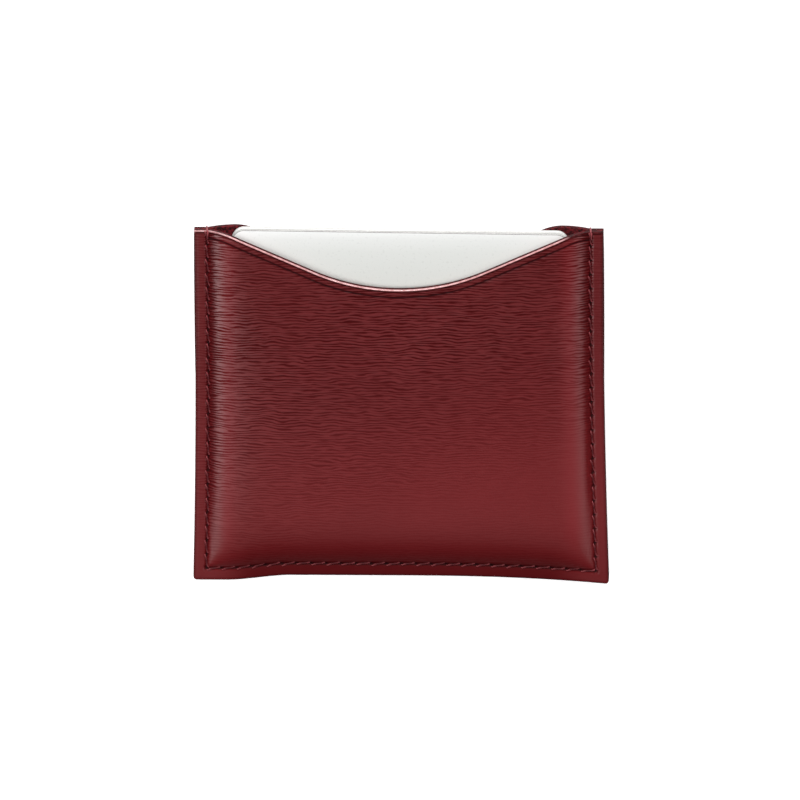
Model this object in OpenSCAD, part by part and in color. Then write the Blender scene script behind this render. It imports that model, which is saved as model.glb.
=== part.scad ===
// Card holder: a slip pouch of burgundy calf leather, lined, sewn along three sides,
// with a thumb scoop cut into the mouth of each panel and a stack of square cards inside.
// It lies on its back: X runs across it, Y runs up to the mouth, Z is its thickness.
// The origin is under the middle of the whole, on the surface that it lies on.

/* [Pouch outline] */
// Width across the mouth
pouch_w = 104.4; // [100:0.1:110]
// Height from the bottom corners to the mouth
pouch_h = 95; // [93:0.5:100]
// How far each bottom corner stands out beyond the mouth's width
corner_flare = 1.1; // [0:0.1:2]
// How far each side is drawn in at half height
side_bow = 0.2; // [0:0.05:0.5]
// How far the bottom edge is drawn up in its middle
bottom_bow = 1.4; // [0:0.1:2]
// Radius of the bottom corners
corner_r = 1.2; // [0.5:0.1:3]

/* [Leather and lining] */
// Thickness of each leather panel
leather_t = 1.3; // [1:0.1:1.6]
// Thickness of each lining
lining_t = 0.4; // [0.3:0.05:0.6]
// How far the front panel stands off the middle plane over the cards
front_gap = 1.95; // [1.9:0.05:3]
// How far the back panel stands off the middle plane over the cards
back_gap = 2.3; // [1.9:0.05:3]
// Width of the slope between the seam and the full depth, at the sides
side_slope = 4.8; // [4:0.1:5]
// Width of the slope between the seam and the full depth, at the bottom
bottom_slope = 3; // [2.6:0.1:3.1]

/* [Thumb scoops] */
// Depth of the scoop in the front panel
front_scoop_depth = 15.2; // [12:0.1:18]
// Depth of the scoop in the back panel
back_scoop_depth = 12.5; // [8:0.1:15]
// Radius of the floor of a scoop
scoop_floor_r = 53; // [45:1:60]
// Slope of the straight flanks of a scoop, in degrees
scoop_flank = 24.2; // [22:0.1:28]
// Radius of the shoulders where a scoop meets the mouth
scoop_shoulder_r = 14; // [8:1:16]

/* [Stitching] */
// Distance from the pouch's edge to the row of stitches
seam_inset = 3.3; // [3:0.1:4]
// Length of one stitch
stitch_pitch = 3.82; // [3:0.01:4.5]
// Diameter of the thread
thread_d = 0.6; // [0.4:0.05:0.8]
// Width of the groove that the stitches lie in
groove_w = 1.2; // [1:0.1:1.6]
// Depth of the groove that the stitches lie in
groove_t = 0.35; // [0.2:0.05:0.5]
// Angle between a stitch and its row, in degrees
stitch_slant = 8; // [0:1:10]

/* [Cards] */
// Side of a square card
card_side = 86; // [84:0.1:87]
// Thickness of a card
card_t = 0.8; // [0.6:0.05:0.8]
// Air between two cards
card_air = 0.05; // [0.03:0.01:0.08]
// Radius of a card's corners
card_r = 3.2; // [1:0.1:5]
// How far the middle of the front card's top edge lies below the mouth
card_drop = 0.3; // [0:0.1:2]
// How far the front card is turned in the pocket, in degrees
front_turn = -1.2; // [-1.2:0.1:1.2]
// How far the cards behind it are turned, in degrees
stack_turn = -0.75; // [-1.2:0.05:1.2]

/* [Hidden] */
$fn = 64;

leather_colour = [0.44, 0.14, 0.16];
lining_colour = [0.36, 0.09, 0.11];
thread_colour = [0.40, 0.10, 0.12];
card_colour = [0.93, 0.94, 0.92];

seam_half = leather_t + lining_t;
middle_z = back_gap + seam_half;
cards = 4;
card_step = card_t + card_air;
stack_t = cards * card_t + (cards - 1) * card_air;
card_middle_y = pouch_h - card_drop - card_side / 2;

// Half of the height of a turned card with round corners, which sets the whole outline's top
function turned_half(turn) =
    let (arm = card_side / 2 - card_r) arm * (cos(turn) + abs(sin(turn))) + card_r;
whole_top = max(pouch_h, card_middle_y + turned_half(stack_turn), card_middle_y + turned_half(front_turn));
middle_y = whole_top / 2;
reach = pouch_w;

// ---- The outline of the pouch ----

// Half of the pouch's width at a height above the bottom corners
function side_x(y) =
    let (t = 1 - y / pouch_h) pouch_w / 2 + corner_flare * t * t - 4 * side_bow * t * (1 - t);

// Height of the bottom edge at a place across the pouch
function bottom_y(x) = bottom_bow * (1 - pow(x / side_x(0), 2));

// The right half of a line that runs along both sides and the bottom, a distance inside the edge,
// from the middle of the bottom, round a corner of radius r, to the mouth
function right_line(inset, r) =
    let (corner_x = side_x(inset + r) - inset - r, corner_y = inset + r)
    concat(
        [for (k = [0 : 5]) let (x = corner_x * k / 6) [x, bottom_y(x) + inset]],
        [for (a = [-90 : 30 : 0]) [corner_x + r * cos(a), corner_y + r * sin(a)]],
        [for (k = [1 : 8]) let (y = corner_y + (pouch_h - corner_y) * k / 8) [side_x(y) - inset, y]]
    );

function flipped(points) = [for (p = points) [-p[0], p[1]]];
function reversed(points) = [for (k = [len(points) - 1 : -1 : 0]) points[k]];

// The whole of that line, from the mouth on the left to the mouth on the right
function seam_line(inset, r) =
    let (right = right_line(inset, r))
    concat(reversed(flipped([for (k = [1 : len(right) - 1]) right[k]])), right);

// The right half of a scoop, from its floor to where its shoulder reaches the mouth
function scoop_half(depth) =
    let (
        flank_x = scoop_floor_r * sin(scoop_flank),
        flank_rise = scoop_floor_r * (1 - cos(scoop_flank)),
        mouth_x = flank_x + (depth - flank_rise) / tan(scoop_flank),
        shoulder_x = mouth_x + scoop_shoulder_r * tan(scoop_flank / 2)
    )
    concat(
        [for (k = [0 : 8]) let (a = scoop_flank * k / 8)
            [scoop_floor_r * sin(a), pouch_h - depth + scoop_floor_r * (1 - cos(a))]],
        [for (k = [0 : 5]) let (a = 90 + scoop_flank * (1 - k / 5))
            [shoulder_x + scoop_shoulder_r * cos(a), pouch_h - scoop_shoulder_r * (1 - sin(a))]]
    );

module panel_outline(scoop_depth) {
    half = scoop_half(scoop_depth);
    polygon(concat(seam_line(0, corner_r), reversed(half), flipped([for (k = [1 : len(half) - 1]) half[k]])));
}

// ---- The swell of the pouch over the cards ----

// A smooth step from 0 to 1
function swell(t) = let (u = min(max(t, 0), 1)) u * u * (3 - 2 * u);

// A block that fills everything between the middle plane and a surface that lies
// base above it at the seams and swells by gap over the cards
module under_swell(base, gap) {
    side_start = pouch_w / 2 - seam_inset - groove_w / 2;
    bottom_start = seam_inset + bottom_bow + groove_w / 2;
    steps = 6;
    across = [for (k = [0 : steps]) [side_start - side_slope * k / steps, base + gap * swell(k / steps)]];
    along = [for (k = [0 : steps]) [bottom_start + bottom_slope * k / steps, base + gap * swell(k / steps)]];
    intersection() {
        translate([0, pouch_h + 1, 0]) rotate([90, 0, 0])
            linear_extrude(pouch_h + 2)
                polygon(concat([[-reach, 0], [reach, 0], [reach, base]], across,
                               reversed(flipped(across)), [[-reach, base]]));
        translate([-reach, 0, 0]) rotate([90, 0, 90])
            linear_extrude(2 * reach)
                polygon(concat([[-1, 0], [-1, base]], along, [[pouch_h + 1, base + gap], [pouch_h + 1, 0]]));
    }
}

// One layer of the pouch, from inner to outer above the middle plane
module layer(scoop_depth, inner, outer, gap) {
    intersection() {
        linear_extrude(3 * reach) panel_outline(scoop_depth);
        difference() {
            under_swell(outer, gap);
            if (inner > 0) under_swell(inner, gap);
            if (inner == 0) swell_only(gap);
        }
    }
}

// The hollow between the middle plane and a lining, which is nothing at the seams
module swell_only(gap) {
    translate([0, 0, -1]) under_swell(1, gap);
}

// The groove for the stitches, which also runs over the pouch's edge at the mouth
module stitch_groove() {
    translate([0, 0, seam_half - groove_t]) linear_extrude(1)
        polygon(concat(seam_line(seam_inset - groove_w / 2, 1),
                       reversed(seam_line(seam_inset + groove_w / 2, 1))));
    for (side = [-1, 1])
        translate([side * (side_x(pouch_h) - seam_inset) - groove_w / 2, pouch_h - groove_t, -1])
            cube([groove_w, 1, seam_half + 2]);
}

// Puts a piece made above the middle plane into the frame; side is 1 at the front, -1 at the back
module in_frame(side = 1) {
    translate([0, -middle_y, middle_z])
        mirror([0, 0, side == 1 ? 0 : 1]) children();
}

module leather_panel(side, scoop_depth, gap) {
    in_frame(side) difference() {
        layer(scoop_depth, lining_t, seam_half, gap);
        stitch_groove();
    }
}

module lining(side, scoop_depth, gap) {
    in_frame(side) difference() {
        layer(scoop_depth, 0, lining_t, gap);
        stitch_groove();
    }
}

// ---- The stitches ----

module stitch(x, y, direction, length) {
    translate([x, y, seam_half - groove_t + thread_d / 2 + 0.01])
        rotate([0, 0, direction + stitch_slant])
            rotate([0, 90, 0]) cylinder(h = length, d = thread_d, center = true, $fn = 16);
}

module stitch_rows() {
    end_gap = 0.9;
    side_count = round((pouch_h - seam_inset) / stitch_pitch);
    side_pitch = (pouch_h - seam_inset) / side_count;
    corner_x = side_x(seam_inset) - seam_inset;
    bottom_count = round(2 * corner_x / stitch_pitch);
    bottom_pitch = 2 * corner_x / bottom_count;
    for (side = [-1, 1], k = [0 : side_count - 1]) {
        y = pouch_h - side_pitch * (k + 0.5);
        stitch(side * (side_x(y) - seam_inset), y, 90, side_pitch - end_gap);
    }
    for (k = [0 : bottom_count - 1]) {
        x = -corner_x + bottom_pitch * (k + 0.5);
        stitch(x, bottom_y(x) + seam_inset, 0, bottom_pitch - end_gap);
    }
}

// The turn of thread that locks the end of each side row over the mouth's edge
module edge_turns() {
    for (side = [-1, 1])
        translate([side * (side_x(pouch_h) - seam_inset), pouch_h - groove_t + thread_d / 2 + 0.01, 0])
            cylinder(h = 2 * (seam_half - 0.1), d = thread_d, center = true, $fn = 16);
}

// ---- The pieces ----

module front_panel() { color(leather_colour) leather_panel(1, front_scoop_depth, front_gap); }

module back_panel() { color(leather_colour) leather_panel(-1, back_scoop_depth, back_gap); }

module front_lining() { color(lining_colour) lining(1, front_scoop_depth, front_gap); }

module back_lining() { color(lining_colour) lining(-1, back_scoop_depth, back_gap); }

module front_thread() { color(thread_colour) in_frame(1) { stitch_rows(); edge_turns(); } }

module back_thread() { color(thread_colour) in_frame(-1) stitch_rows(); }

// A square card with round corners, number 1 being the one at the front
module card(number) {
    turn = number == 1 ? front_turn : stack_turn;
    arm = card_side / 2 - card_r;
    color(card_colour)
    translate([0, card_middle_y - middle_y, middle_z + stack_t / 2 - card_t - (number - 1) * card_step])
        rotate([0, 0, turn])
            linear_extrude(card_t) union() {
                square([card_side, 2 * arm], center = true);
                square([2 * arm, card_side], center = true);
                for (sx = [-1, 1], sy = [-1, 1]) translate([sx * arm, sy * arm]) circle(card_r);
            }
}

module card_1() { card(1); }

module card_2() { card(2); }

module card_3() { card(3); }

module card_4() { card(4); }

front_panel();
back_panel();
front_lining();
back_lining();
front_thread();
back_thread();
card_1();
card_2();
card_3();
card_4();
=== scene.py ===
# %% [markdown]
# # A leather card holder and its cards
# The holder is a slip pouch. Two panels of burgundy calf, each with a thin lining glued inside,
# are sewn together along both sides and the bottom, and a thumb scoop is cut into the mouth.
# Four square cards fill it, and the leather has taken their shape.
# The pouch lies on its back: X runs across it, Y runs up to the mouth, and Z is its thickness.

# %% Load the frame
import math

import bmesh
import bpy
from mathutils import Matrix, Vector, noise


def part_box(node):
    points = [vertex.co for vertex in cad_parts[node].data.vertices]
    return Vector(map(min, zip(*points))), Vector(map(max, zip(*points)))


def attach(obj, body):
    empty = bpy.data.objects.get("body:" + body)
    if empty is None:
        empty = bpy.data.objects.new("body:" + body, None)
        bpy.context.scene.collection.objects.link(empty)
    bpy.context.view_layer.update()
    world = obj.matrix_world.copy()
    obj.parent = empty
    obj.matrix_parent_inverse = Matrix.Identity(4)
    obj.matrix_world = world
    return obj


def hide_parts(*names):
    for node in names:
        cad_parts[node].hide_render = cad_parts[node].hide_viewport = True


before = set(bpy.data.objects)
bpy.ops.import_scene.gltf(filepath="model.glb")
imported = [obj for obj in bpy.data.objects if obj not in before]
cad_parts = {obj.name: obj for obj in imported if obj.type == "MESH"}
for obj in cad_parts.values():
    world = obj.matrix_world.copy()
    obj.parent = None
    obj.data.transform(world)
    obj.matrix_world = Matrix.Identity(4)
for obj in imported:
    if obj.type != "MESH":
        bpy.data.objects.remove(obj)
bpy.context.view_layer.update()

# %% [markdown]
# ## Measures
# A leather worker cuts a pouch from a few numbers: its width and height, the leather's thickness,
# the seam margin and the scoop's radii. The heights and the swell could be typed in too, but they
# are read from the frame's boxes, so the visible leather lies where the frame's plain panels lie.

# %% Measures of the pouch, in metres
MM = 0.001
MOUTH_W = 104.4 * MM
CORNER_FLARE = 1.1 * MM
SIDE_BOW = 0.2 * MM
BOTTOM_BOW = 1.4 * MM
LEFT_TIP_START = 28 * MM
LEFT_TIP_RUN = 17 * MM
RIGHT_DROP = 2.1 * MM
RIGHT_DROP_POWER = 2.4
CORNER_R = 1.2 * MM
SEAM_INSET = 3.3 * MM
LEATHER_T = 1.3 * MM
LINING_T = 0.4 * MM
STITCH_LENGTH = 3.82 * MM
FRONT_SCOOP = 15.2 * MM
BACK_SCOOP = 12.5 * MM
SCOOP_FLOOR_R = 53 * MM
SCOOP_SHOULDER_R = 14 * MM
SCOOP_FLANK = math.radians(24.2)

front_low, front_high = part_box("front_panel")
back_low, back_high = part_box("back_panel")
FOOT_Y = front_low.y
HEIGHT = front_high.y - FOOT_Y
SEAM_HALF = LEATHER_T + LINING_T
MIDDLE_Z = front_low.z - LINING_T
FRONT_GAP = front_high.z - MIDDLE_Z - SEAM_HALF
BACK_GAP = MIDDLE_Z - SEAM_HALF - back_low.z
print("height %.1f mm" % (HEIGHT / MM))
print("front swell %.2f mm, back swell %.2f mm" % (FRONT_GAP / MM, BACK_GAP / MM))

# %% [markdown]
# ## The outline as formulas
# Nothing on a hand-made pouch is quite straight. The bottom corners stand out a little, the
# bottom edge is drawn up in its middle by the swell, and the scoop is a shallow arc with straight
# flanks and round shoulders. A drawn curve could hold this, but a short function for each edge can
# be asked at any place, so leather, lining, seam and stitches all share the same outline.

# %% Outline functions
def smooth(t):
    t = min(max(t, 0.0), 1.0)
    return t * t * (3 - 2 * t)


def side_x(y):
    """Half of the width at a height above the bottom corners."""
    t = 1 - y / HEIGHT
    return MOUTH_W / 2 + CORNER_FLARE * t * t - 4 * SIDE_BOW * t * (1 - t)


def bottom_y(x):
    """Height of the bottom edge: it falls in a short step on the left and in a long curve on the right."""
    if x < 0:
        return BOTTOM_BOW * (1 - smooth((-x - LEFT_TIP_START) / LEFT_TIP_RUN))
    return BOTTOM_BOW - RIGHT_DROP * (x / side_x(0)) ** RIGHT_DROP_POWER


def mouth_y(x, depth):
    """Height and slope of the mouth's edge at a place across the pouch."""
    x = abs(x)
    floor_end = SCOOP_FLOOR_R * math.sin(SCOOP_FLANK)
    rise = SCOOP_FLOOR_R * (1 - math.cos(SCOOP_FLANK))
    corner = floor_end + (depth - rise) / math.tan(SCOOP_FLANK)
    run = SCOOP_SHOULDER_R * math.tan(SCOOP_FLANK / 2)
    top = corner + run
    if x <= floor_end:
        drop = math.sqrt(SCOOP_FLOOR_R ** 2 - x * x)
        return HEIGHT - depth + SCOOP_FLOOR_R - drop, x / drop
    if x <= corner - run * math.cos(SCOOP_FLANK):
        return HEIGHT - depth + rise + (x - floor_end) * math.tan(SCOOP_FLANK), math.tan(SCOOP_FLANK)
    if x < top:
        drop = math.sqrt(SCOOP_SHOULDER_R ** 2 - (top - x) ** 2)
        return HEIGHT - SCOOP_SHOULDER_R + drop, (top - x) / drop
    return HEIGHT, 0.0


print("width at the mouth %.1f mm" % (2 * side_x(HEIGHT) / MM))
print("width at the bottom corners %.1f mm" % (2 * side_x(0) / MM))

# %% [markdown]
# ## The row of stitches
# The row runs a seam margin inside the edge: down one side, along the bottom, up the other side.
# A pricking iron sets the holes, so they are slanted slits at an even step that fits a whole number
# of stitches to each stretch. The same holes are sunk into the leather and hold the thread's ends.

# %% Holes of the seam
SIDE_STITCHES = round((HEIGHT - SEAM_INSET) / STITCH_LENGTH)
SEAM_CORNER_X = side_x(SEAM_INSET) - SEAM_INSET
SIDE_STEP = {
    side: (HEIGHT - bottom_y(side * SEAM_CORNER_X) - SEAM_INSET) / SIDE_STITCHES for side in (-1, 1)
}
BOTTOM_STITCHES = round(2 * SEAM_CORNER_X / STITCH_LENGTH)
BOTTOM_STEP = 2 * SEAM_CORNER_X / BOTTOM_STITCHES


def side_hole(side, k):
    y = HEIGHT - SIDE_STEP[side] * k
    return Vector((side * (side_x(y) - SEAM_INSET), y, 0))


def bottom_hole(k):
    x = -SEAM_CORNER_X + BOTTOM_STEP * k
    return Vector((x, bottom_y(x) + SEAM_INSET, 0))


SLIT_ANGLE = math.radians(38)
SLIT_HALF = 0.62 * MM
SLIT_WIDE = 0.30 * MM


def hole_depth(x, y):
    """1 in the middle of a pricked slit, falling to 0 around it."""
    best = 0.0
    side = 1 if x > 0 else -1
    for hole, along in (
        (side_hole(side, min(max(round((HEIGHT - y) / SIDE_STEP[side]), 1), SIDE_STITCHES)), math.pi / 2),
        (bottom_hole(min(max(round((x + SEAM_CORNER_X) / BOTTOM_STEP), 0), BOTTOM_STITCHES)), 0.0),
    ):
        dx, dy = x - hole.x, y - hole.y
        if abs(dx) + abs(dy) > 3 * SLIT_HALF:
            continue
        turn = along - SLIT_ANGLE
        u = dx * math.cos(turn) + dy * math.sin(turn)
        w = dy * math.cos(turn) - dx * math.sin(turn)
        best = max(best, math.exp(-((u / SLIT_HALF) ** 2) - (w / SLIT_WIDE) ** 2))
    return best


print(SIDE_STITCHES, "stitches on each side and", BOTTOM_STITCHES, "along the bottom")

# %% [markdown]
# ## How the leather swells
# Wet leather pressed over cards keeps their shape: flat along the seam, a short hollow beside the
# stitches, a rounded ridge over the cards' edge, and a low dome in the middle. Cloth simulation
# could swell it, but stiff calf keeps a few exact shapes that formulas give more crisply. One
# function gives the height at any place, and the masks that the leather's finish will use.

# %% Shapes of the relief
SWELL_REACH = 3.4 * MM
SWELL_POWER = 1.3
SEAM_ROUND = 2.2
FOOT_STEEP = 1.15
DOME_REACH = 11 * MM
DOME_FALL = 30 * MM
WANDER = 0.07 * MM
GROOVE_DEPTH = 0.21 * MM
GROOVE_HALF = 0.46 * MM
SLIT_DEPTH = 0.34 * MM
CREASE_INSET = 2.05 * MM
CREASE_DEPTH = 0.12 * MM
CREASE_HALF = 0.24 * MM
EDGE_LINE_INSET = 0.55 * MM
EDGE_LINE_HALF = 0.18 * MM
EDGE_LINE_DEPTH = 0.05 * MM
EDGE_R = 0.42 * MM
PAINT_REACH = 0.32 * MM


def bell(distance, half):
    return math.exp(-((distance / half) ** 2))


def rise(distance, reach):
    return 1 - math.exp(-((max(distance, 0.0) / reach) ** SWELL_POWER))


def inner_distance(a, b):
    """Distance inside two seams at once; it rounds the corner between them."""
    if a <= 0 or b <= 0:
        return 0.0
    return (a ** -SEAM_ROUND + b ** -SEAM_ROUND) ** (-1 / SEAM_ROUND)


def swell(x, y, ss, sb, dt, gap, dome):
    """Height of the bare swell over the cards, with the slight unevenness of a hide."""
    inside = inner_distance(ss, FOOT_STEEP * sb)
    middle = rise(inside, DOME_REACH)
    wander = noise.noise(Vector((x / (21 * MM), y / (17 * MM), 3.1 + gap / MM)))
    domed = dome * middle * smooth(dt / DOME_FALL)
    return gap * rise(inside, SWELL_REACH) + domed + WANDER * wander * middle


half_swell = SWELL_REACH * math.log(2) ** (1 / SWELL_POWER)
print("half of the swell is reached %.1f mm inside the seam" % (half_swell / MM))

# %% [markdown]
# ## Masks for the finish
# Dye, wax, wear and painted light follow the relief: painted shade in the groove, the slits and
# on the slope to the foot, dull on the flat margin, partly polish and partly a painted highlight on
# the ridge, rubbed and painted as a highlight along the mouth. A mask could be painted by hand on
# the finished mesh, but here the same distances that shape the leather also give each mask, from 0 to 1.

# %% Masks of a place on the leather
MASKS = ("seam", "hole", "flange", "edge", "crease", "ridge", "mouth", "foot")
# How far the mouth's rubbed edge and its painted highlight fade on each shoulder, and how much less painted
# shade the foot gets at each bottom corner.
MOUTH_WEAR_AND_HIGHLIGHT = {-1: 0.35, 1: 0.9}
CORNER_SHINE = {-1: 0.85, 1: 0.7}


def leather_masks(x, y, ds, db, dt):
    """Masks of a place, from its distances to the side, the bottom and the mouth."""
    side = 1 if x > 0 else -1
    ss, sb = ds - SEAM_INSET, db - SEAM_INSET
    seam = min(abs(ss) if sb > 0 else 9, abs(sb) if ss > 0 else 9, math.hypot(ss, sb))
    # The steep flank beside the seam, which gets painted shade through the seam mask.
    flank = bell(ss - 1.0 * MM, 1.0 * MM) * smooth((sb - 5 * MM) / (22 * MM))
    edge = min(ds, db, dt)
    line = bell(edge - EDGE_LINE_INSET, EDGE_LINE_HALF)
    shoulder = smooth((abs(x) - 39 * MM) / (7 * MM))
    corner = smooth((abs(x) - 37 * MM) / (12 * MM)) * CORNER_SHINE[side]
    hem = 1 - 0.25 * smooth((sb + 1.0 * MM) / (2.5 * MM))
    return {
        "groove": bell(seam, GROOVE_HALF),
        "line": line,
        "rim": edge,
        "seam": max(bell(seam, 0.42 * MM), 0.45 * flank),
        "hole": hole_depth(x, y),
        "flange": smooth(-min(ss, sb) / (0.9 * MM)),
        "edge": max(line * (1.0 if edge == dt else 0.3), 0.8 * bell(min(ds, db), 0.36 * MM)),
        "crease": bell(dt - CREASE_INSET, CREASE_HALF) * smooth((ss + 0.6 * MM) / (1.2 * MM)),
        "ridge": bell(ss - 4.6 * MM, 2.8 * MM) * rise(ss, 3 * MM) * smooth(sb / (14 * MM)),
        # mouth: the rubbed edge of the mouth, which also carries a painted highlight.
        "mouth": bell(dt, 0.9 * MM) * (1 - MOUTH_WEAR_AND_HIGHLIGHT[side] * shoulder),
        # foot: where painted shade lies, on the slope down to the bottom seam and the margin below it, with
        # less at the corners.
        "foot": (1 - smooth((sb + 0.6 * MM) / (16 * MM))) * (1 - corner) * hem,
    }


# %% Relief of a panel
def relief(x, y, gap, dome, depth, worked=True):
    """Height above the flat seam, and the masks of that place if the leather is worked there."""
    ds, db = side_x(y) - abs(x), y - bottom_y(x)
    top, slope = mouth_y(x, depth)
    dt = (top - y) / math.sqrt(1 + slope * slope)
    height = swell(x, y, ds - SEAM_INSET, db - SEAM_INSET, dt, gap, dome)
    if not worked:
        return height, {}
    masks = leather_masks(x, y, ds, db, dt)
    height -= GROOVE_DEPTH * masks["groove"] + SLIT_DEPTH * masks["hole"]
    height -= CREASE_DEPTH * masks["crease"] + EDGE_LINE_DEPTH * masks["line"]
    if masks["rim"] < EDGE_R:
        t = 1 - max(masks["rim"], 0.0) / EDGE_R
        height -= EDGE_R * (1 - math.sqrt(max(1 - t * t, 0.0)))
    return height, masks


print("height over the cards %.2f mm" % (relief(0, HEIGHT / 2, FRONT_GAP, 0, FRONT_SCOOP)[0] / MM))

# %% [markdown]
# ## A sheet that fits the outline
# A flat grid is stretched until its border is the pouch's outline. Its lines are close together
# where the leather has small shapes, which are the edges, the seam and the crease, and wider apart
# elsewhere. An outline filled with one face would leave nothing inside it to raise into relief.
# The layer is then extruded through its thickness, and the rim is cut into rings that
# are pushed out a little, which gives the rounded bead of a painted edge.

# %% Grid lines, in millimetres from the border
EDGE_LINES = [
    0, 0.03, 0.1, 0.22, 0.36, 0.5, 0.72, 0.95, 1.3, 1.8,
    2.2, 2.5, 2.75, 3.0, 3.3, 3.6, 3.85, 4.1, 4.5, 5.0,
]
TOP_LINES = [
    0, 0.03, 0.1, 0.2, 0.32, 0.42, 0.52, 0.64, 0.8, 1.1,
    1.5, 1.72, 1.85, 1.95, 2.05, 2.15, 2.28, 2.5, 2.9, 3.4,
]
PLAIN_LINES = [0, 0.3, 0.8, 1.8]


def lines(start, end, length, step):
    """Positions from 0 to length: some close to each border, and even steps between them."""
    first, last = start[-1] * MM, length - end[-1] * MM
    count = round((last - first) / step)
    even = [first + (last - first) * k / count for k in range(1, count)]
    return [d * MM for d in start] + even + [length - d * MM for d in reversed(end)]


print("close lines at a sewn edge:", len(EDGE_LINES), "and at the mouth:", len(TOP_LINES))


# %% Stretching the grid to the outline
def place(across, up, depth):
    """Takes a place on a plain rectangle to its place on the pouch's outline."""
    half = MOUTH_W / 2
    out = smooth((abs(across) - 20 * MM) / (half - 28 * MM))
    x = across + math.copysign((side_x(up) - half) * out, across)
    near_bottom = 1 - smooth((up - 8 * MM) / (50 * MM))
    near_mouth = smooth((up - 30 * MM) / (HEIGHT - 34 * MM))
    y = up + bottom_y(x) * near_bottom + (mouth_y(x, depth)[0] - HEIGHT) * near_mouth
    a, b = side_x(y) - abs(x), y - bottom_y(x)
    if a < CORNER_R and b < CORNER_R:
        p, q = CORNER_R - a, CORNER_R - b
        pull = max(p, q) / max(math.hypot(p, q), 1e-9)
        x = math.copysign(side_x(y) - CORNER_R + p * pull, x)
        y = bottom_y(x) + CORNER_R - q * pull
    return x, y


def mapped_grid(columns, rows, depth):
    bm = bmesh.new()
    bmesh.ops.create_grid(bm, x_segments=len(columns) - 1, y_segments=len(rows) - 1, size=1)
    for v in bm.verts:
        i = round((v.co.x + 1) / 2 * (len(columns) - 1))
        j = round((v.co.y + 1) / 2 * (len(rows) - 1))
        v.co.x, v.co.y = place(columns[i] - MOUTH_W / 2, rows[j], depth)
    return bm


print("the mouth's corner lies at", [round(v / MM, 2) for v in place(MOUTH_W / 2, HEIGHT, FRONT_SCOOP)], "mm")


# %% Thickness and the rounded rim
RIM_RINGS = 3


def thicken(bm, bottom, bead, fading=None):
    """Extrudes the sheet down to bottom(x, y), and gives its rim rings that stand out by bead.
    A mask given as fading goes down to 0 through the thickness."""
    made = bmesh.ops.extrude_face_region(bm, geom=bm.faces[:])["geom"]
    for g in made:
        if isinstance(g, bmesh.types.BMVert):
            g.co.z = bottom(g.co.x, g.co.y)
            if fading:
                g[fading] = 0.0
    uprights, spans = [], {}
    for e in bm.edges:
        a, b = e.verts[0].co, e.verts[1].co
        if abs(a.x - b.x) + abs(a.y - b.y) < 1e-8:
            uprights.append(e)
            spans[(round(a.x, 7), round(a.y, 7))] = (min(a.z, b.z), max(a.z, b.z))
    cut = bmesh.ops.subdivide_edges(bm, edges=uprights, cuts=RIM_RINGS, use_grid_fill=True)
    rings = [g for g in cut["geom_inner"] if isinstance(g, bmesh.types.BMVert)]
    bm.normal_update()
    for v in rings:
        for f in v.link_faces:
            f.material_index = 1
        foot, head = spans[(round(v.co.x, 7), round(v.co.y, 7))]
        out = Vector((v.normal.x, v.normal.y, 0)).normalized()
        v.co += out * bead * math.sin(math.pi * (v.co.z - foot) / (head - foot))


def finish_mesh(bm, name, materials):
    bmesh.ops.recalc_face_normals(bm, faces=bm.faces[:])
    mesh = bpy.data.meshes.new(name)
    bm.to_mesh(mesh)
    bm.free()
    mesh.polygons.foreach_set("use_smooth", [True] * len(mesh.polygons))
    for material in materials:
        mesh.materials.append(material)
    piece = bpy.data.objects.new(name, mesh)
    bpy.context.scene.collection.objects.link(piece)
    print(name, len(mesh.polygons), "faces")
    return piece


# %% [markdown]
# ## Finishes
# Every finish is made from nodes, so it has detail at any distance and needs no picture. A few
# helpers keep the node code short. An effect with several parts is a node group: it takes a place
# on the piece and gives back a mask or a height, and the shader that uses it stays in the material.

# %% Node helpers
def new_group(name, inputs, outputs):
    group = bpy.data.node_groups.new(name, "ShaderNodeTree")
    for title, kind, value in inputs:
        socket = group.interface.new_socket(title, in_out="INPUT", socket_type=kind)
        if value is not None:
            socket.default_value = value
    for title, kind in outputs:
        group.interface.new_socket(title, in_out="OUTPUT", socket_type=kind)
    start = group.nodes.new("NodeGroupInput")
    end = group.nodes.new("NodeGroupOutput")
    return group, start, end


def add(tree, kind, settings=None, **inputs):
    """Adds a node; inputs are sockets to link or values to set, by socket name with _ for a space,
    or by number as i0, i1."""
    node = tree.nodes.new(kind)
    for key, value in (settings or {}).items():
        setattr(node, key, value)
    for key, value in inputs.items():
        numbered = key[0] == "i" and key[1:].isdigit()
        socket = node.inputs[int(key[1:]) if numbered else key.replace("_", " ")]
        if isinstance(value, bpy.types.NodeSocket):
            tree.links.new(value, socket)
        else:
            socket.default_value = value
    return node


def math_node(tree, operation, a, b=0.0, clamp=False):
    return add(tree, "ShaderNodeMath", {"operation": operation, "use_clamp": clamp}, i0=a, i1=b).outputs[0]


def scaled_sum(tree, value, factor, offset):
    """value * factor + offset, where offset may be a socket."""
    node = add(tree, "ShaderNodeMath", {"operation": "MULTIPLY_ADD"}, i0=value, i1=factor, i2=offset)
    return node.outputs[0]


def blend_colour(tree, factor, a, b):
    node = add(tree, "ShaderNodeMix", {"data_type": "RGBA"})
    for socket, value in zip((node.inputs[0], node.inputs[6], node.inputs[7]), (factor, a, b)):
        if isinstance(value, bpy.types.NodeSocket):
            tree.links.new(value, socket)
        else:
            socket.default_value = value
    return node.outputs[2]


def ramp(tree, value, *stops):
    """A colour ramp; stops are (position, grey level)."""
    node = add(tree, "ShaderNodeValToRGB", Fac=value)
    elements = node.color_ramp.elements
    while len(elements) < len(stops):
        elements.new(0.5)
    for element, (position, level) in zip(elements, stops):
        element.position = position
        element.color = (level, level, level, 1)
    return node.outputs[0]


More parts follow.
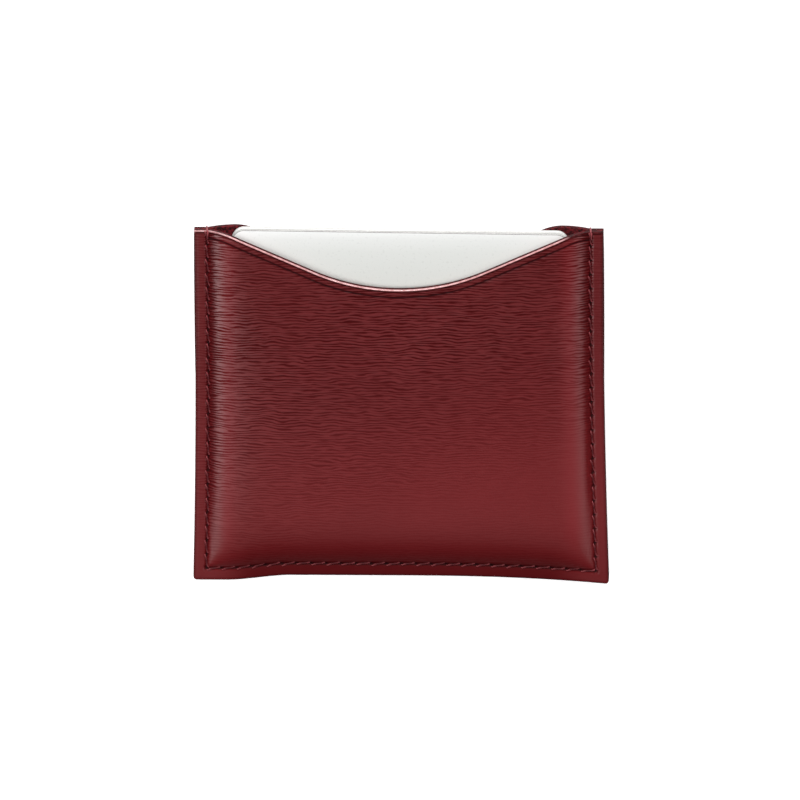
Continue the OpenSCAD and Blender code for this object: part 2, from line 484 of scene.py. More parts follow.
def new_material(name):
    material = bpy.data.materials.new(name)
    material.use_nodes = True
    tree = material.node_tree
    shader = tree.nodes["Principled BSDF"]
    place_node = tree.nodes.new("ShaderNodeTexCoord").outputs["Object"]
    return material, tree, shader, place_node


# %% [markdown]
# ### Boarded grain
# The skin is folded and rolled under a cork board until it takes fine creases that run across it.
# They are waves about three quarters of a millimetre apart. A noise stretched along X would give
# only blurred dashes, so a sine along Y gives the ripple, a noise slips its phase so that the lines
# wander and break, and a slow noise lets them fade. Tiny pores lie under it all.

# %% Boarded grain group
GRAIN_PITCH = 0.74 * MM
GRAIN_BEND = 0.0013
GRAIN_SLIP = 13.0
SLIP_SCALE = (150.0, 460.0, 200.0)
LONG_SCALE = (300.0, 2900.0, 300.0)

grain_group, g_in, g_out = new_group(
    "boarded_grain",
    [("Place", "NodeSocketVector", None), ("Strength", "NodeSocketFloat", 1.0)],
    [("Height", "NodeSocketFloat"), ("Valleys", "NodeSocketFloat")],
)


def grain_noise(vector, scale, detail, roughness=0.5):
    return add(grain_group, "ShaderNodeTexNoise", Vector=vector, Scale=scale, Detail=detail,
               Roughness=roughness)


def grain_math(operation, a, b=0.0):
    return math_node(grain_group, operation, a, b)


grain_place = g_in.outputs["Place"]
slow = grain_noise(grain_place, 120.0, 2.0).outputs["Color"]
bend = add(grain_group, "ShaderNodeVectorMath", {"operation": "SCALE"}, Vector=slow, Scale=GRAIN_BEND)
bent = add(grain_group, "ShaderNodeVectorMath", {"operation": "ADD"}, i0=grain_place,
           i1=bend.outputs[0]).outputs[0]
along = add(grain_group, "ShaderNodeSeparateXYZ", Vector=bent).outputs["Y"]

slip_map = add(grain_group, "ShaderNodeMapping", Vector=grain_place, Scale=SLIP_SCALE).outputs[0]
slip = grain_math("MULTIPLY", grain_noise(slip_map, 1.0, 1.0).outputs["Fac"], GRAIN_SLIP)
phase = scaled_sum(grain_group, along, 2 * math.pi / GRAIN_PITCH, slip)
ripple = scaled_sum(grain_group, grain_math("SINE", phase), 0.22, 0.5)

long_map = add(grain_group, "ShaderNodeMapping", Vector=bent, Scale=LONG_SCALE).outputs[0]
long_waves = grain_noise(long_map, 1.0, 1.0, roughness=0.4).outputs["Fac"]
waves = grain_math("ADD", grain_math("MULTIPLY", ripple, 0.5), grain_math("MULTIPLY", long_waves, 0.5))

patch = grain_noise(grain_place, 38.0, 1.0).outputs["Fac"]
amount = grain_math("MULTIPLY", ramp(grain_group, patch, (0.3, 0.75), (0.6, 1.0)), g_in.outputs["Strength"])
pores = add(grain_group, "ShaderNodeTexVoronoi", Vector=grain_place, Scale=3400.0).outputs["Distance"]
grain_height = grain_math("ADD", grain_math("MULTIPLY", waves, amount), grain_math("MULTIPLY", pores, 0.04))
grain_group.links.new(grain_height, g_out.inputs["Height"])
grain_valleys = grain_math("MULTIPLY", ramp(grain_group, waves, (0.41, 1.0), (0.54, 0.0)), amount)
grain_group.links.new(grain_valleys, g_out.inputs["Valleys"])
print("grain group:", len(grain_group.nodes), "nodes, a crease every", GRAIN_PITCH / MM, "mm")

# %% [markdown]
# ### Burgundy calf
# The colour is a deep aniline red with a thin finish on top, so it is darker in the creases. It is
# painted darker in the seam's groove, on the steep flank beside it and in the pricked holes, a
# painted shade; painted lighter above the foot and darker on the slope down to it, painted light and
# shade; and painted lighter on the ridge over the cards, partly polish where hands rub it and partly
# a painted highlight. The masks come from the mesh, where the relief was made, so a colour always
# lies on the shape that it belongs to. The base shader stays nearly matt, and the wax on top is a
# clear coat, which the same masks thin out wherever a hand does not reach.

# %% Reading a mask and the strength of the grain
GRAIN_UP = 24.0
GRAIN_ACROSS = -8.5
GRAIN_MIDDLE = 0.82
GRAIN_LEAST = 0.10


def masked(tree, name):
    node = tree.nodes.new("ShaderNodeAttribute")
    node.attribute_type = "GEOMETRY"
    node.attribute_name = name
    return node.outputs["Fac"]


def weighed(tree, value, weight):
    return math_node(tree, "MULTIPLY", value, weight)


def grain_strength(tree, spot):
    """Clear creases towards the mouth and the left side, almost none at the foot and on the
    flat margins."""
    parts = add(tree, "ShaderNodeSeparateXYZ", Vector=spot)
    up = scaled_sum(tree, parts.outputs["Y"], GRAIN_UP, GRAIN_MIDDLE)
    across = weighed(tree, parts.outputs["X"], GRAIN_ACROSS)
    strength = math_node(tree, "ADD", up, across, clamp=True)
    strength = math_node(tree, "MAXIMUM", strength, GRAIN_LEAST)
    bare = math_node(tree, "ADD", weighed(tree, masked(tree, "flange"), 0.7),
                     weighed(tree, masked(tree, "ridge"), 0.50))
    return math_node(tree, "MULTIPLY", strength, math_node(tree, "SUBTRACT", 1.0, bare))


# %% Leather
LEATHER_RED = (0.096, 0.0022, 0.0036, 1)
LEATHER_LIGHT = (0.140, 0.0080, 0.0100, 1)
LEATHER_DARK = (0.038, 0.0010, 0.0016, 1)
GRAIN_DARK = (0.038, 0.0004, 0.0008, 1)
RIDGE_POLISH_AND_HIGHLIGHT = (0.190, 0.0150, 0.0190, 1)
SHADE_AND_CREASE_DARK = (0.010, 0.0015, 0.002, 1)
GRAIN_RELIEF = 0.30 * MM
WAX_BASE, WAX_ON_GRAIN = 0.72, 0.30


def leather_colour(tree, spot, valleys):
    """The dyed red, painted a little lighter towards the foot as painted light, with each mask's tone laid
    over it.
    """
    cloud = add(tree, "ShaderNodeTexNoise", Vector=spot, Scale=60.0, Detail=3.0).outputs["Fac"]
    shade_break = add(tree, "ShaderNodeTexNoise", Vector=spot, Scale=1100.0, Detail=2.0).outputs["Fac"]
    parts = add(tree, "ShaderNodeSeparateXYZ", Vector=spot)
    # Painted light: the leather is made lighter towards the foot.
    low = add(tree, "ShaderNodeMapRange", {"interpolation_type": "SMOOTHSTEP"}, Value=parts.outputs["Y"],
              From_Min=20 * MM, From_Max=-26 * MM).outputs[0]
    light = math_node(tree, "ADD", weighed(tree, low, 0.62), ramp(tree, cloud, (0.35, 0.0), (0.65, 0.22)),
                      clamp=True)
    # Painted shade in the seam's groove and on the flank beside it, broken up by a noise.
    groove_shadow = weighed(tree, masked(tree, "seam"), ramp(tree, shade_break, (0.35, 0.45), (0.6, 1.0)))
    colour = blend_colour(tree, light, LEATHER_RED, LEATHER_LIGHT)
    for factor, weight, tone in (
        # The ridge is painted lighter, partly polish and partly a painted highlight.
        (masked(tree, "ridge"), 0.50, RIDGE_POLISH_AND_HIGHLIGHT),
        (masked(tree, "flange"), 0.12, LEATHER_DARK),
        (valleys, 0.90, GRAIN_DARK),
        # Painted shade on the slope down to the foot.
        (masked(tree, "foot"), 0.68, LEATHER_DARK),
        (groove_shadow, 0.85, SHADE_AND_CREASE_DARK),
        (masked(tree, "crease"), 0.95, SHADE_AND_CREASE_DARK),
        (masked(tree, "edge"), 0.9, SHADE_AND_CREASE_DARK),
        # Painted shade in the pricked holes; the crease and the edges above take the same dark as tooled and
        # painted lines.
        (masked(tree, "hole"), 1.0, SHADE_AND_CREASE_DARK),
    ):
        colour = blend_colour(tree, weighed(tree, factor, weight), colour, tone)
    return colour


def wax(tree, strength, valleys):
    """The clear coat: full on the open grain, thin in every hollow and at the foot."""
    coat = scaled_sum(tree, strength, WAX_ON_GRAIN, WAX_BASE)
    for factor, weight in (
        (valleys, 1.0),
        (masked(tree, "seam"), 1.8),
        (masked(tree, "hole"), 1.0),
        (masked(tree, "crease"), 1.0),
        (masked(tree, "edge"), 1.0),
        (masked(tree, "foot"), 0.75),
        (masked(tree, "ridge"), 0.42),
    ):
        coat = math_node(tree, "SUBTRACT", coat, weighed(tree, factor, weight), clamp=True)
    return coat


def leather_material():
    material, tree, shader, spot = new_material("burgundy_calf")
    strength = grain_strength(tree, spot)
    grain = add(tree, "ShaderNodeGroup", {"node_tree": grain_group}, Place=spot, Strength=strength)
    valleys = grain.outputs["Valleys"]
    calm = math_node(tree, "SUBTRACT", 1.0, weighed(tree, masked(tree, "ridge"), 0.75))
    bump = add(tree, "ShaderNodeBump", Height=grain.outputs["Height"], Distance=GRAIN_RELIEF, Strength=calm)
    tree.links.new(leather_colour(tree, spot, valleys), shader.inputs["Base Color"])
    tree.links.new(scaled_sum(tree, valleys, 0.15, 0.45), shader.inputs["Roughness"])
    tree.links.new(bump.outputs[0], shader.inputs["Normal"])
    tree.links.new(wax(tree, strength, valleys), shader.inputs["Coat Weight"])
    shader.inputs["Coat Roughness"].default_value = 0.30
    shader.inputs["Specular IOR Level"].default_value = 0.06
    return material


leather = leather_material()
print(leather.name, "has", len(leather.node_tree.nodes), "nodes")

# %% [markdown]
# ### Painted edge
# The cut edges are sealed with a dark burgundy paint that dries as a hard bead. Along the front
# of the mouth, cards and fingers rub it through to the pale core of the leather, and that pale colour
# is also a painted highlight of the light the rounded edge catches. Two colours and one mask make
# both states in a single material, so they fade into each other.

# %% Edge paint
def finish_with(tree, shader, colour, rough, height, relief_height, strength):
    """Links a colour, a roughness and a bumped height to a shader."""
    tree.links.new(colour, shader.inputs["Base Color"])
    tree.links.new(rough, shader.inputs["Roughness"])
    bump = add(tree, "ShaderNodeBump", Height=height, Distance=relief_height, Strength=strength)
    tree.links.new(bump.outputs[0], shader.inputs["Normal"])


def edge_material():
    material, tree, shader, spot = new_material("edge_paint")
    wobble = add(tree, "ShaderNodeTexNoise", Vector=spot, Scale=900.0, Detail=3.0).outputs["Fac"]
    tone = ramp(tree, wobble, (0.35, 0.0), (0.7, 1.0))
    plain = blend_colour(tree, tone, (0.022, 0.0012, 0.0018, 1), (0.060, 0.0045, 0.006, 1))
    # The pale rubbed colour is partly wear and partly a painted highlight of the light the rounded edge
    # catches.
    rubbed_and_highlit = blend_colour(tree, tone, (0.40, 0.17, 0.17, 1), (0.62, 0.36, 0.36, 1))
    wear_and_highlight = ramp(tree, masked(tree, "mouth"), (0.30, 0.0), (0.85, 1.0))
    rough = ramp(tree, wobble, (0.3, 0.24), (0.7, 0.36))
    finish_with(tree, shader, blend_colour(tree, wear_and_highlight, plain, rubbed_and_highlit), rough, wobble, 0.04 * MM, 0.6)
    tree.links.new(wear_and_highlight, shader.inputs["Coat Weight"])
    shader.inputs["Coat Roughness"].default_value = 0.16
    shader.inputs["Specular IOR Level"].default_value = 0.04
    return material


edge_paint = edge_material()
print("made", edge_paint.name)

# %% [markdown]
# ### Lining split
# The lining is a thin split of the same hide, dyed red, with a matt nap. Real fibres would be
# far too many to model, so a rough noise gives both their specks of colour and their height, and
# a wider noise clumps them.

# %% Lining
def lining_material():
    material, tree, shader, spot = new_material("lining_split")
    fibres = add(tree, "ShaderNodeTexNoise", Vector=spot, Scale=1300.0, Detail=6.0,
                 Roughness=0.7).outputs["Fac"]
    clumps = add(tree, "ShaderNodeTexNoise", Vector=spot, Scale=260.0, Detail=3.0).outputs["Fac"]
    tone = ramp(tree, fibres, (0.42, 0.0), (0.60, 1.0))
    colour = blend_colour(tree, tone, (0.012, 0.0005, 0.001, 1), (0.150, 0.010, 0.015, 1))
    rough = ramp(tree, fibres, (0.3, 0.75), (0.7, 0.95))
    nap = math_node(tree, "ADD", fibres, clumps)
    finish_with(tree, shader, colour, rough, nap, 0.15 * MM, 0.8)
    shader.inputs["Specular IOR Level"].default_value = 0.2
    return material


lining_split = lining_material()
print("made", lining_split.name)

# %% [markdown]
# ### Waxed thread
# The thread is waxed polyester, dyed to match. Where it lies in the groove it is painted dark and
# dull, a painted shade, and where it rises at the slits it is rubbed and painted brighter, a
# painted highlight. The stitches carry that as a mask of their own, so one material does for the
# whole row.

# %% Thread finish
def thread_material():
    material, tree, shader, spot = new_material("waxed_thread")
    fibres = add(tree, "ShaderNodeTexNoise", Vector=spot, Scale=5000.0, Detail=4.0,
                 Roughness=0.65).outputs["Fac"]
    tone = ramp(tree, fibres, (0.35, 0.0), (0.65, 1.0))
    # Where the thread lies in the groove its colour is painted shade; at its ends the brighter colour is a
    # painted highlight, partly rubbed wear.
    groove_shaded = blend_colour(tree, tone, (0.040, 0.003, 0.0045, 1), (0.085, 0.008, 0.011, 1))
    rubbed_and_highlit = blend_colour(tree, tone, (0.17, 0.022, 0.027, 1), (0.36, 0.080, 0.088, 1))
    colour = blend_colour(tree, masked(tree, "end"), groove_shaded, rubbed_and_highlit)
    rough = ramp(tree, fibres, (0.3, 0.38), (0.7, 0.58))
    finish_with(tree, shader, colour, rough, fibres, 0.03 * MM, 0.7)
    shader.inputs["Specular IOR Level"].default_value = 0.18
    return material


waxed_thread = thread_material()
print("made", waxed_thread.name)

# %% [markdown]
# ### Card board
# The cards are blank white board with a satin face, painted a little greyer where they stay inside
# the pouch, a painted shade. A fine mottle keeps the white from looking like plastic. Their punched
# sides are bare board, and the upper rims of the front two are painted a darker grey, a painted
# shadow line along each card.

# %% Card finishes
CARD_SHADE_TOP = 46.8 * MM
CARD_SHADE_END = 32 * MM


def card_material():
    material, tree, shader, spot = new_material("white_card")
    mottle = add(tree, "ShaderNodeTexNoise", Vector=spot, Scale=1400.0, Detail=3.0).outputs["Fac"]
    speck = add(tree, "ShaderNodeTexNoise", Vector=spot, Scale=4200.0, Detail=2.0).outputs["Fac"]
    tone = ramp(tree, mottle, (0.2, 0.0), (0.8, 1.0))
    parts = add(tree, "ShaderNodeSeparateXYZ", Vector=spot)
    # Painted shade: the face greys from the exposed top towards the inside of the pouch.
    inner = add(tree, "ShaderNodeMapRange", Value=parts.outputs["Y"], From_Min=CARD_SHADE_TOP,
                From_Max=CARD_SHADE_END).outputs[0]
    shade = ramp(tree, inner, (0.0, 0.0), (0.13, 0.42), (0.35, 0.70), (1.0, 1.0))
    white = blend_colour(tree, tone, (0.742, 0.747, 0.738, 1), (0.752, 0.757, 0.748, 1))
    colour = blend_colour(tree, shade, white, (0.540, 0.552, 0.525, 1))
    finish_with(tree, shader, colour, ramp(tree, mottle, (0.3, 0.26), (0.7, 0.34)), speck, 0.01 * MM, 0.5)
    shader.inputs["Coat Weight"].default_value = 0.3
    shader.inputs["Coat Roughness"].default_value = 0.12
    return material


def rim_material(name, dark, pale):
    material, tree, shader, spot = new_material(name)
    layers = add(tree, "ShaderNodeTexNoise", Vector=spot, Scale=2600.0, Detail=3.0).outputs["Fac"]
    colour = blend_colour(tree, ramp(tree, layers, (0.35, 0.0), (0.65, 1.0)), dark, pale)
    bump = add(tree, "ShaderNodeBump", Height=layers, Distance=0.01 * MM, Strength=0.5)
    tree.links.new(colour, shader.inputs["Base Color"])
    tree.links.new(bump.outputs[0], shader.inputs["Normal"])
    shader.inputs["Roughness"].default_value = 0.6
    shader.inputs["Specular IOR Level"].default_value = 0.2
    return material


white_card = card_material()
card_rim = rim_material("card_rim", (0.17, 0.165, 0.16, 1), (0.27, 0.265, 0.255, 1))
card_core = rim_material("card_core", (0.40, 0.395, 0.38, 1), (0.52, 0.515, 0.50, 1))
print("finishes:", ", ".join(m.name for m in bpy.data.materials))

# %% [markdown]
# ## The two leather panels
# Front and back come from the same steps. The back panel is a mirror image that swells the
# other way, with a shallower scoop, and it stays flat where it rests on the table. Subdividing a
# coarse sheet would round off the groove and the slits, so the fitted grid is raised point by
# point, and each point keeps its masks. Only the front of the mouth is rubbed much and carries the
# painted highlight along its edge.

# %% Leather panels
DOME = 1.15 * MM
EDGE_BEAD = 0.14 * MM
GRID_STEP = 0.55 * MM
GLUE_LINE = 0.02 * MM
PAINT_MARGIN = 0.03 * MM
PAINT_LEAST = 0.08
FRONT_RUB_AND_HIGHLIGHT, BACK_RUB_AND_HIGHLIGHT = 1.0, 0.2


def to_frame(bm, facing):
    """Moves a layer made above the middle plane into the frame; facing is 1 in front, -1 behind."""
    if facing < 0:
        bmesh.ops.scale(bm, vec=(1, 1, -1), verts=bm.verts[:])
    bmesh.ops.translate(bm, verts=bm.verts[:], vec=(0, FOOT_Y, MIDDLE_Z))


def leather_panel(name, node, facing, gap, dome, depth, rubbed_and_highlit):
    columns = lines(EDGE_LINES, EDGE_LINES, MOUTH_W, GRID_STEP)
    rows = lines(EDGE_LINES, TOP_LINES, HEIGHT, GRID_STEP)
    bm = mapped_grid(columns, rows, depth)
    layers = {key: bm.verts.layers.float.new(key) for key in MASKS}
    painted = set()
    for v in bm.verts:
        height, masks = relief(v.co.x, v.co.y, gap, dome, depth)
        v.co.z = SEAM_HALF + height
        for key, layer in layers.items():
            v[layer] = masks[key] * (rubbed_and_highlit if key == "mouth" else 1)
        if masks["rim"] < PAINT_REACH + PAINT_MARGIN and masks["mouth"] > PAINT_LEAST:
            painted.add(v)
    for f in bm.faces:
        if all(v in painted for v in f.verts):
            f.material_index = 1

    def glued_face(x, y):
        return LINING_T + GLUE_LINE + relief(x, y, gap, dome, depth, worked=False)[0]

    thicken(bm, glued_face, EDGE_BEAD, fading=layers["mouth"])
    to_frame(bm, facing)
    piece = finish_mesh(bm, name, [leather, edge_paint])
    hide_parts(node)
    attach(piece, "pouch")


leather_panel("front_leather", "front_panel", 1, FRONT_GAP, DOME, FRONT_SCOOP, FRONT_RUB_AND_HIGHLIGHT)
leather_panel("back_leather", "back_panel", -1, BACK_GAP, 0.0, BACK_SCOOP, BACK_RUB_AND_HIGHLIGHT)

# %% [markdown]
# ## The linings
# Each lining is cut to the same outline and glued to its panel, so it follows the same swell
# without the worked details. It could be the leather's own inner face in another material, but a
# real lining is a piece with a thickness: its thin edge shows at the scoop, and its face at the
# two tips. It has no small shapes, so its grid is coarser.

# %% Linings
LINING_STEP = 1.6 * MM
LINING_BEAD = 0.05 * MM


def lining_skin(name, node, facing, gap, dome, depth):
    columns = lines(PLAIN_LINES, PLAIN_LINES, MOUTH_W, LINING_STEP)
    rows = lines(PLAIN_LINES, PLAIN_LINES, HEIGHT, LINING_STEP)
    bm = mapped_grid(columns, rows, depth)
    for v in bm.verts:
        v.co.z = LINING_T + relief(v.co.x, v.co.y, gap, dome, depth, worked=False)[0]

    def inner_face(x, y):
        return GLUE_LINE + relief(x, y, gap, dome, depth, worked=False)[0]

    thicken(bm, inner_face, LINING_BEAD)
    to_frame(bm, facing)
    piece = finish_mesh(bm, name, [lining_split, lining_split])
    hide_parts(node)
    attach(piece, "pouch")


lining_skin("front_lining_skin", "front_lining", 1, FRONT_GAP, DOME, FRONT_SCOOP)
lining_skin("back_lining_skin", "back_lining", -1, BACK_GAP, 0.0, BACK_SCOOP)

# %% [markdown]
# ## The thread
# The thread is two plies twisted together. A curve with a round bevel would make each ply a smooth
# tube with no control of its ends, so a ring is made at every step of the path and bridged to the
# one before it. The plies wind round each other by the length already travelled.

# %% Two twisted plies
PLY_R = 0.14 * MM
TWIST_R = 0.12 * MM
TWIST_LENGTH = 2.1 * MM
RING_SIDES = 7


def across_path(ahead):
    """A direction square to the path, which is X or Y turned out of the way."""
    spare = Vector((1, 0.01, 0)) if abs(ahead.x) < 0.9 else Vector((0, 1, 0))
    return ahead.cross(spare).normalized()


def sweep_plies(bm, path):
    """Sweeps two twisted plies along a path, as rings bridged one after another."""
    travelled = [0.0]
    for a, b in zip(path, path[1:]):
        travelled.append(travelled[-1] + (b - a).length)
    for ply in range(2):
        last = None
        for k, point in enumerate(path):
            ahead = (path[min(k + 1, len(path) - 1)] - path[max(k - 1, 0)]).normalized()
            side = across_path(ahead)
            other = ahead.cross(side)
            turn = 2 * math.pi * travelled[k] / TWIST_LENGTH + math.pi * ply
            centre = point + (side * math.cos(turn) + other * math.sin(turn)) * TWIST_R
            spin = Matrix((side, other, ahead)).transposed().to_4x4()
            ring = bmesh.ops.create_circle(
                bm, cap_ends=k in (0, len(path) - 1), segments=RING_SIDES, radius=PLY_R,
                matrix=Matrix.Translation(centre) @ spin)["verts"]
            edges = list({e for v in ring for e in v.link_edges if all(u in ring for u in e.verts)})
            if last:
                bmesh.ops.bridge_loops(bm, edges=last + edges)
            last = edges


print("thread %.2f mm thick" % (2 * (PLY_R + TWIST_R) / MM))

# %% [markdown]
# ## One stitch and the turn at the mouth
# A stitch comes up through one slit, is pulled down into the groove and goes into the next slit.
# Because the slits slant, its two ends hook to opposite sides, which gives a hand-sewn row its
# slight zigzag. At both ends of the seam the thread is turned once over the mouth's edge.

# %% Stitch and turn
THREAD_LIE = SEAM_HALF - GROOVE_DEPTH + PLY_R + TWIST_R + 0.04 * MM
STITCH_RINGS = 10
STITCH_HOOK = 0.42 * MM
HOOK_POWER = 2.6
STITCH_SINK = 0.70 * MM
SINK_POWER = 14
STITCH_PULL = 0.16 * MM
TURN_RINGS = 16
TURN_LIFT = 0.25 * MM
TURN_REACH = 0.05 * MM
TURN_DROP = 2.0 * MM
TURN_SQUARENESS = 0.35
TURN_SWAY = 0.25 * MM


def stitch_mesh(length):
    """One stitch along X, with the mask that places a painted highlight at its ends."""
    bm = bmesh.new()
    path = []
    for k in range(STITCH_RINGS + 1):
        t = -math.cos(math.pi * k / STITCH_RINGS)
        hook = STITCH_HOOK * math.copysign(abs(t) ** HOOK_POWER, t)
        lie = THREAD_LIE + STITCH_PULL * (t * t - 1) - STITCH_SINK * abs(t) ** SINK_POWER
        path.append(Vector((t / 2 * length, hook, lie)))
    sweep_plies(bm, path)
    end = bm.verts.layers.float.new("end")
    for v in bm.verts:
        v[end] = min(abs(2 * v.co.x / length), 1.0) ** 2
    bmesh.ops.recalc_face_normals(bm, faces=bm.faces[:])
    mesh = bpy.data.meshes.new("stitch")
    bm.to_mesh(mesh)
    bm.free()
    return mesh


def edge_turn(bm, side):
    """The thread's turn over the mouth's edge, from the front face to the back face."""
    x = side * (side_x(HEIGHT) - SEAM_INSET)
    lift = THREAD_LIE + TURN_LIFT
    path = []
    for k in range(TURN_RINGS + 1):
        angle = math.pi * k / TURN_RINGS
        z = lift * math.copysign(abs(math.cos(angle)) ** TURN_SQUARENESS, math.cos(angle))
        y = HEIGHT - TURN_DROP * (1 - math.sin(angle) ** TURN_SQUARENESS) + TURN_REACH * math.sin(angle)
        path.append(Vector((x + TURN_SWAY * math.cos(angle), y, z)))
    sweep_plies(bm, path)


print("a stitch sinks %.2f mm at its ends" % (STITCH_SINK / MM))

# %% [markdown]
# ## The rows of stitches
# An array along a curve would place every stitch alike, and nobody sews like that. So one stitch
# is copied into each pair of holes with a slightly different lean, length and sideways shift, all
# from a noise of its place, which gives the same row each time.

# %% Stitch rows
STITCH_LEAN = math.radians(5)
LEAN_CHANGE = 0.26
STITCH_SWAY = 0.16 * MM
STITCH_FILL, FILL_CHANGE = 0.93, 0.08
# The turns over the mouth get most of the painted highlight of the stitches' ends.
TURN_SHINE = 0.75


def seam_stitches():
    """The two holes of every stitch."""
    rows = []
    for side in (-1, 1):
        for k in range(SIDE_STITCHES):
            rows.append((side_hole(side, k), side_hole(side, k + 1)))
    for k in range(BOTTOM_STITCHES):
        rows.append((bottom_hole(k), bottom_hole(k + 1)))
    return rows


def stitch_place(start, end, facing):
    """The matrix that lays the single stitch between two holes, with a little unevenness."""
    along = end - start
    middle = (start + end) / 2
    uneven, sway = noise.noise(middle * 900), noise.noise(middle * 700 + Vector((5, 3, 1)))
    middle += Vector((along.y, -along.x, 0)).normalized() * sway * STITCH_SWAY
    lean = math.atan2(along.y, along.x) + (STITCH_LEAN + LEAN_CHANGE * uneven) * facing
    stretch = along.length / STITCH_LENGTH * (STITCH_FILL + FILL_CHANGE * uneven)
    return Matrix.Translation(middle) @ Matrix.Rotation(lean, 4, "Z") @ Matrix.Scale(stretch, 4, (1, 0, 0))


def stitch_rows(name, node, facing, with_turns):
    bm = bmesh.new()
    single = stitch_mesh(STITCH_LENGTH)
    for start, end in seam_stitches():
        before = set(bm.verts)
        bm.from_mesh(single)
        fresh = [v for v in bm.verts if v not in before]
        bmesh.ops.transform(bm, matrix=stitch_place(start, end, facing), verts=fresh)
    if with_turns:
        shine = bm.verts.layers.float["end"]
        for side in (-1, 1):
            before = set(bm.verts)
            edge_turn(bm, side)
            for v in bm.verts:
                if v not in before:
                    v[shine] = TURN_SHINE
    bpy.data.meshes.remove(single)
    to_frame(bm, facing)
    piece = finish_mesh(bm, name, [waxed_thread])
    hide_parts(node)
    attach(piece, "pouch")


stitch_rows("front_stitches", "front_thread", 1, True)
stitch_rows("back_stitches", "back_thread", -1, False)

# %% [markdown]
# ## The cards
# A card is punched from board, so its corners are round and its rims are a little soft. A cube
# scaled flat would need its bevels evened out again, so a square gets its four corners bevelled as
# vertices, is extruded by its thickness, and its two rims get a very small bevel, which catches a
# line of light along each card. The cards lie slightly askew, each by its own angle.

# %% Cards
CARD_SIDE = 86 * MM
CARD_CORNER = 3.2 * MM
CORNER_STEPS = 10
CARD_RIM = 0.15 * MM
RIM_STEPS = 3
CARD_FACE, CARD_RIM_SLOT, CARD_CORE_SLOT = 0, 1, 2
CARD_TURNS = {"card_1": -0.62, "card_2": -0.62, "card_3": -0.80, "card_4": -0.55}
SHADOW_LINED_CARDS = ("card_1", "card_2")
CARD_BODIES = {"card_1": "card_one", "card_2": "card_two", "card_3": "card_three", "card_4": "card_four"}


def punched_board(thickness):
    """A round-cornered square with soft rims; gives the mesh and the faces of the rims."""
    bm = bmesh.new()
    bmesh.ops.create_grid(bm, x_segments=1, y_segments=1, size=CARD_SIDE / 2)
    bmesh.ops.bevel(bm, geom=bm.verts[:], offset=CARD_CORNER, segments=CORNER_STEPS, profile=0.5,
                    affect="VERTICES", material=-1)
    made = bmesh.ops.extrude_face_region(bm, geom=bm.faces[:])["geom"]
    raised = [g for g in made if isinstance(g, bmesh.types.BMVert)]
    bmesh.ops.translate(bm, verts=raised, vec=(0, 0, thickness))
    level = [e for e in bm.edges if abs(e.verts[0].co.z - e.verts[1].co.z) < 0.01 * MM]
    cut = bmesh.ops.bevel(bm, geom=level, offset=CARD_RIM, segments=RIM_STEPS, profile=0.5,
                          affect="EDGES", material=-1)
    return bm, cut["faces"]


def card(node):
    low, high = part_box(node)
    bm, rims = punched_board(high.z - low.z)
    for f in bm.faces:
        f.material_index = CARD_CORE_SLOT if abs(f.normal.z) < 0.3 else CARD_FACE
    # The upper rims of the front two cards are grey as a painted shadow line.
    for f in rims:
        if node in SHADOW_LINED_CARDS and f.normal.z > 0.02:
            f.material_index = CARD_RIM_SLOT
    turn = Matrix.Rotation(math.radians(CARD_TURNS[node]), 4, "Z")
    middle = Vector(((low.x + high.x) / 2, (low.y + high.y) / 2, low.z))
    bmesh.ops.transform(bm, matrix=Matrix.Translation(middle) @ turn, verts=bm.verts[:])
    piece = finish_mesh(bm, node + "_blank", [white_card, card_rim, card_core])
    for polygon in piece.data.polygons:
        polygon.use_smooth = abs(polygon.normal.z) < 0.99
    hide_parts(node)
    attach(piece, CARD_BODIES[node])


for node in CARD_TURNS:
    card(node)

# %% [markdown]
# ## The floor
# Small leather goods are shown on a surface so pale that only their own contact shadow is left of
# it. A white floor under light alone goes grey away from the lights, so this one also glows a
# little, and stays white to its edge.

# %% Floor
FLOOR_HALF = 2.5
FLOOR_GAP = 0.05 * MM
FLOOR_GLOW = 0.45


def stage_floor():
    bm = bmesh.new()
    bmesh.ops.create_grid(bm, x_segments=1, y_segments=1, size=FLOOR_HALF)
    bmesh.ops.translate(bm, verts=bm.verts[:], vec=(0, 0, -FLOOR_GAP))
    mesh = bpy.data.meshes.new("floor")
    bm.to_mesh(mesh)
    bm.free()
    floor = bpy.data.objects.new("floor", mesh)
    bpy.context.scene.collection.objects.link(floor)
    material, tree, shader, spot = new_material("pale_floor")
    tint = add(tree, "ShaderNodeTexNoise", Vector=spot, Scale=3.0, Detail=2.0).outputs["Fac"]
    colour = blend_colour(tree, tint, (0.96, 0.96, 0.96, 1), (0.98, 0.98, 0.98, 1))
    tree.links.new(colour, shader.inputs["Base Color"])
    shader.inputs["Roughness"].default_value = 0.9
    shader.inputs["Specular IOR Level"].default_value = 0.1
    shader.inputs["Emission Color"].default_value = (1, 1, 1, 1)
    shader.inputs["Emission Strength"].default_value = FLOOR_GLOW
    mesh.materials.append(material)
    print("floor", 2 * FLOOR_HALF, "m wide")


stage_floor()

# %% [markdown]
# ## Lights
# The strongest light is a broad softbox far beyond the mouth. It rakes down the leather, so every
# crease shows, and it is far enough that a card drawn out toward it is not burnt white. A
# narrow softbox at each side draws the bright ridge beside the seam, and a faint strip at the foot
# opens the shadow there. Every lamp is turned to face the holder.

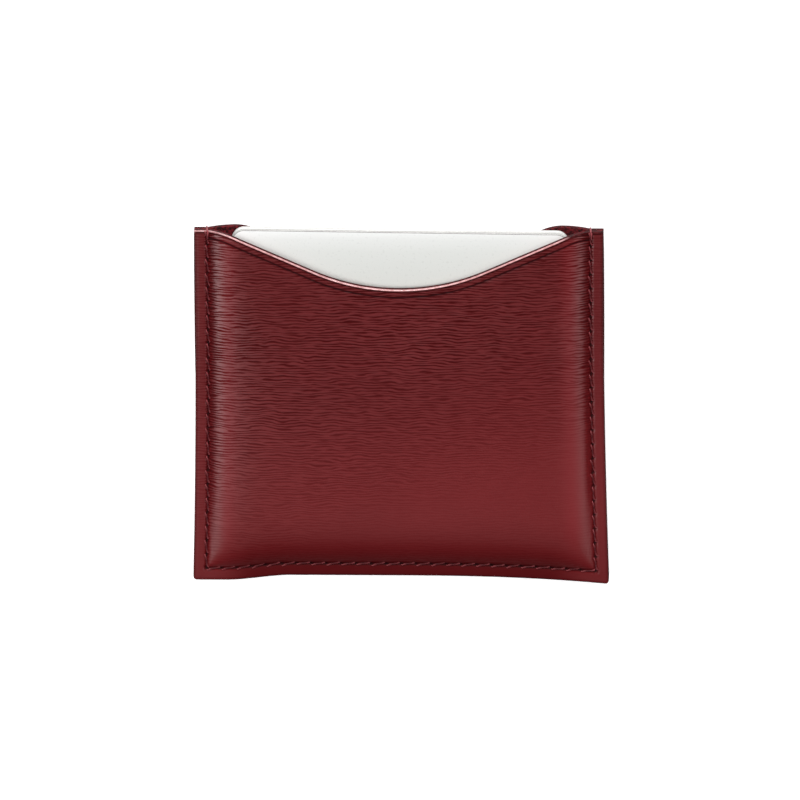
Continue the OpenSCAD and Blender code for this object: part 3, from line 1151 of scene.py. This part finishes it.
# %% Lights
SOFTBOXES = (
    # name, place in metres, width, height, power in watts
    ("mouth_softbox", (0.0, 2.0, 1.3), 1.8, 1.2, 81.0),
    ("left_softbox", (-0.66, -0.20, 0.97), 0.2, 0.8, 6.6),
    ("right_softbox", (0.66, -0.20, 0.97), 0.35, 0.8, 3.2),
    ("foot_softbox", (0.0, -0.60, 1.04), 0.8, 0.16, 0.35),
)
SKY_COLOUR = (0.97, 0.98, 1.0, 1)
SKY_STRENGTH = 0.06


def soft_light(name, place_at, width, height, power):
    data = bpy.data.lights.new(name, "AREA")
    data.shape = "RECTANGLE"
    data.size, data.size_y, data.energy = width, height, power
    light = bpy.data.objects.new(name, data)
    light.location = place_at
    light.rotation_euler = (-Vector(place_at)).to_track_quat("-Z", "Y").to_euler()
    bpy.context.scene.collection.objects.link(light)
    print(name, power, "W")


for softbox in SOFTBOXES:
    soft_light(*softbox)

world = bpy.data.worlds.new("studio")
world.use_nodes = True
bpy.context.scene.world = world
world.node_tree.nodes["Background"].inputs["Color"].default_value = SKY_COLOUR
world.node_tree.nodes["Background"].inputs["Strength"].default_value = SKY_STRENGTH
bpy.context.scene.view_settings.view_transform = "Standard"

# %% [markdown]
# ## Camera
# The camera looks down on the front panel from a little above the mouth, with the mouth at the
# top of the picture. A very long lens from far away keeps the two sides nearly parallel, as a
# catalogue view does. Its three axes are worked out as vectors, which is surer than three angles.

# %% Camera
CAMERA_TILT = math.radians(20)
CAMERA_SIDE = math.radians(1.8)
CAMERA_ROLL = math.radians(0.41)
CAMERA_LENS = 1000.0
SENSOR = 36.0
FIELD = 204.4 * MM
AIM_Y = 0.95 * MM


def aim_camera():
    data = bpy.data.cameras.new("camera")
    data.lens, data.sensor_width = CAMERA_LENS, SENSOR
    distance = FIELD * CAMERA_LENS / SENSOR
    back = Vector((math.sin(CAMERA_SIDE), math.sin(CAMERA_TILT), math.cos(CAMERA_TILT))).normalized()
    level = Vector((0, 1, 0)).cross(back).normalized()
    right = (level * math.cos(CAMERA_ROLL) - back.cross(level) * math.sin(CAMERA_ROLL)).normalized()
    axes = Matrix((right, back.cross(right), back)).transposed().to_4x4()
    target = Vector((0.0, AIM_Y, MIDDLE_Z))
    camera = bpy.data.objects.new("camera", data)
    camera.matrix_world = Matrix.Translation(target + back * distance) @ axes
    data.clip_start, data.clip_end = 0.1, 20.0
    bpy.context.scene.collection.objects.link(camera)
    bpy.context.scene.camera = camera
    print("camera %.2f m away" % distance)


aim_camera()
